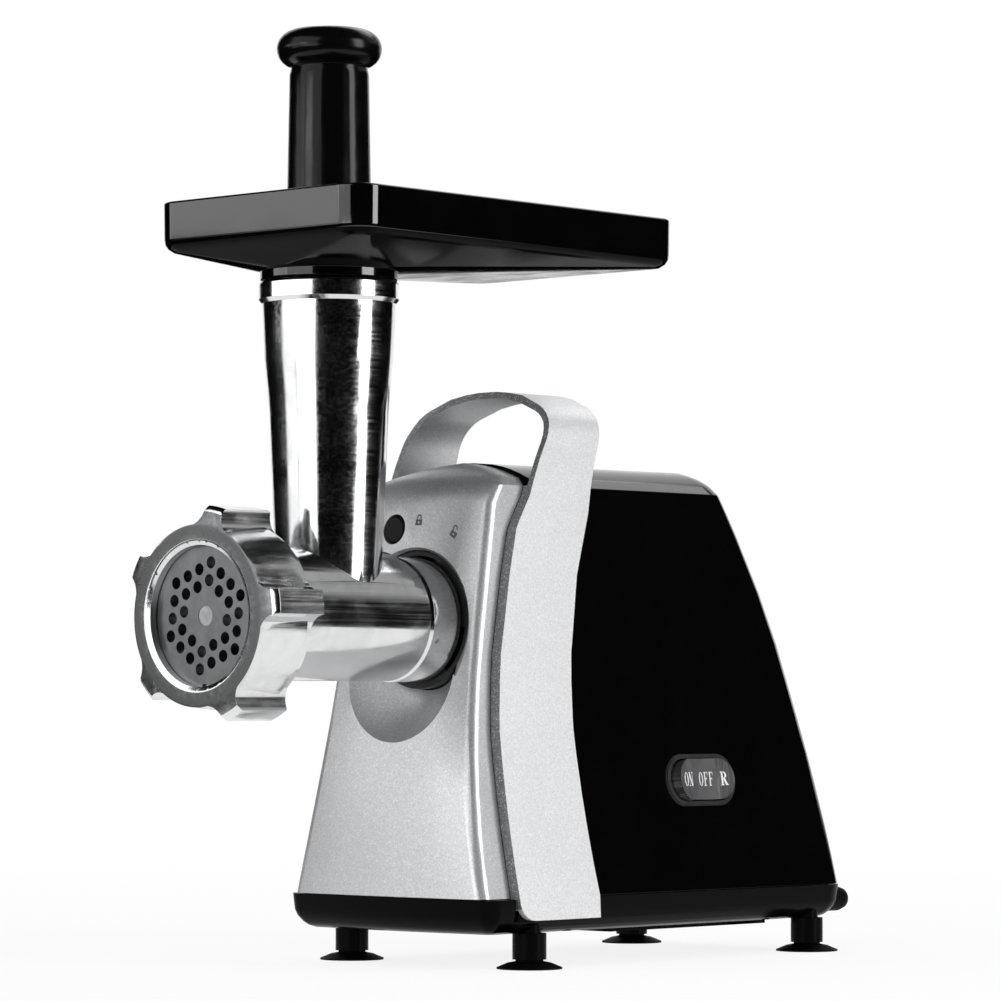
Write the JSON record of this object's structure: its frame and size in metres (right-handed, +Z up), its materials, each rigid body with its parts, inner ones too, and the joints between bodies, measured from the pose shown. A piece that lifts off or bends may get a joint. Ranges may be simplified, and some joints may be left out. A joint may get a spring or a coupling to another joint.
{
  "type": "electric meat grinder",
  "caption": "Electric meat grinder with a cast head, ring nut and perforated plate, feed tray and pusher, on a motor body with a carrying strap, side rocker switch and suction feet",
  "frame": {"origin": "on the floor, under the middle of the whole object's box", "axes": "+Z up, -Y the side that the outlet faces, +X the side with the switch"},
  "size_m": [0.119, 0.3246, 0.356],
  "materials": {
    "black_shell": "smooth glossy black moulding, fine orange peel, light dust in the corners",
    "silver_shell": "satin silver metallic lacquer with fine flake",
    "gloss_tray": "high gloss black moulding with fine handling scratches",
    "black_plastic": "satin black moulding, fine spark texture",
    "rocker_plastic": "dark grey satin moulding with printed ON, OFF and R",
    "cup_rubber": "soft black rubber, dull with a faint bloom",
    "polished_alloy": "polished cast aluminium with shallow casting ripple",
    "cast_alloy": "die-cast aluminium, dull and slightly grainy",
    "bare_steel": "turned and ground steel",
    "plate_steel": "ground tool steel, dark, with fine straight grinding lines",
    "core_steel": "stacked electrical steel sheets, varnished edges",
    "winding": "enamelled copper wire under varnish",
    "bronze": "sintered bronze and brass, slightly dull",
    "carbon": "pressed graphite, matt dark grey",
    "white_plastic": "natural white bearing plastic, satin"
  },
  "bodies": {
    "housing": {"rear_housing": "black_shell", "front_cover": "silver_shell", "handle_strap": "silver_shell", "base": "black_shell", "foot_stems": "black_shell", "suction_cups": "cup_rubber", "base_screws": "bare_steel", "bayonet_socket": "black_plastic", "socket_screws": "bare_steel", "gearbox_case": "cast_alloy", "gearbox_cover": "cast_alloy", "gearbox_screws": "bare_steel", "output_bearing": "bronze", "shaft_seal": "cup_rubber", "mid_axle": "bare_steel", "stator_core": "core_steel", "field_coils": "winding", "motor_front_bracket": "bare_steel", "motor_rear_bracket": "bare_steel", "motor_bearings": "bronze", "brush_holders": "bronze", "carbon_brushes": "carbon", "switch_bezel": "black_plastic", "switch_body": "black_plastic", "rocker_pin": "bare_steel", "button_guide": "black_plastic", "button_spring": "bare_steel", "cord_gland": "cup_rubber"},
    "head": {"grinder_head": "polished_alloy", "perforated_plate": "plate_steel", "plate_key": "bare_steel", "head_bush": "white_plastic"},
    "drive": {"auger": "polished_alloy", "cutting_knife": "bare_steel", "auger_washer": "white_plastic", "drive_coupling": "black_plastic", "output_shaft": "bare_steel", "output_gear": "white_plastic"},
    "mid": {"mid_gear": "white_plastic", "mid_pinion": "bare_steel"},
    "rotor": {"motor_shaft": "bare_steel", "motor_pinion": "bare_steel", "armature_core": "core_steel", "armature_coils": "winding", "commutator": "bronze", "cooling_fan": "black_plastic"},
    "nut": {"ring_nut": "polished_alloy"},
    "tray": {"feed_tray": "gloss_tray"},
    "pusher": {"pusher": "gloss_tray"},
    "rocker": {"rocker": "rocker_plastic"},
    "button": {"release_button": "black_plastic"}
  },
  "joints": [
    {"name": "head_swing", "type": "hinge", "parent": "housing", "child": "head", "pos_m": [0, -0.0387, 0.1325], "axis": [0, 1, 0], "range_deg": [0, 30]},
    {"name": "nut_turn", "type": "hinge", "parent": "head", "child": "nut", "pos_m": [0, -0.1487, 0.1325], "axis": [0, 1, 0], "range_deg": [0, 540]},
    {"name": "tray_lift", "type": "slide", "parent": "head", "child": "tray", "axis": [0, 0, 1], "range_m": [0, 0.06]},
    {"name": "pusher_lift", "type": "slide", "parent": "tray", "child": "pusher", "axis": [0, 0, 1], "range_m": [0, 0.11]},
    {"name": "auger_spin", "type": "hinge", "parent": "housing", "child": "drive", "pos_m": [0, -0.0087, 0.1325], "axis": [0, 1, 0], "continuous": true},
    {"name": "mid_spin", "type": "hinge", "parent": "housing", "child": "mid", "pos_m": [0, 0.0113, 0.09675], "axis": [0, 1, 0], "continuous": true},
    {"name": "rotor_spin", "type": "hinge", "parent": "housing", "child": "rotor", "pos_m": [0, 0.0813, 0.06555], "axis": [0, 1, 0], "continuous": true},
    {"name": "rocker_tilt", "type": "hinge", "parent": "housing", "child": "rocker", "pos_m": [0.03861, 0.0693, 0.06892], "axis": [0.1547, 0, -0.988], "range_deg": [-10, 10]},
    {"name": "button_press", "type": "slide", "parent": "housing", "child": "button", "axis": [0, 1, 0], "range_m": [0, 0.004], "stiffness_N_per_m": 300, "springref_m": -0.002, "deforming": ["button_spring"]}
  ],
  "couplings": [
    {"joint": "mid_spin", "follows": "auger_spin", "ratio": -4},
    {"joint": "rotor_spin", "follows": "auger_spin", "ratio": 28}
  ]
}
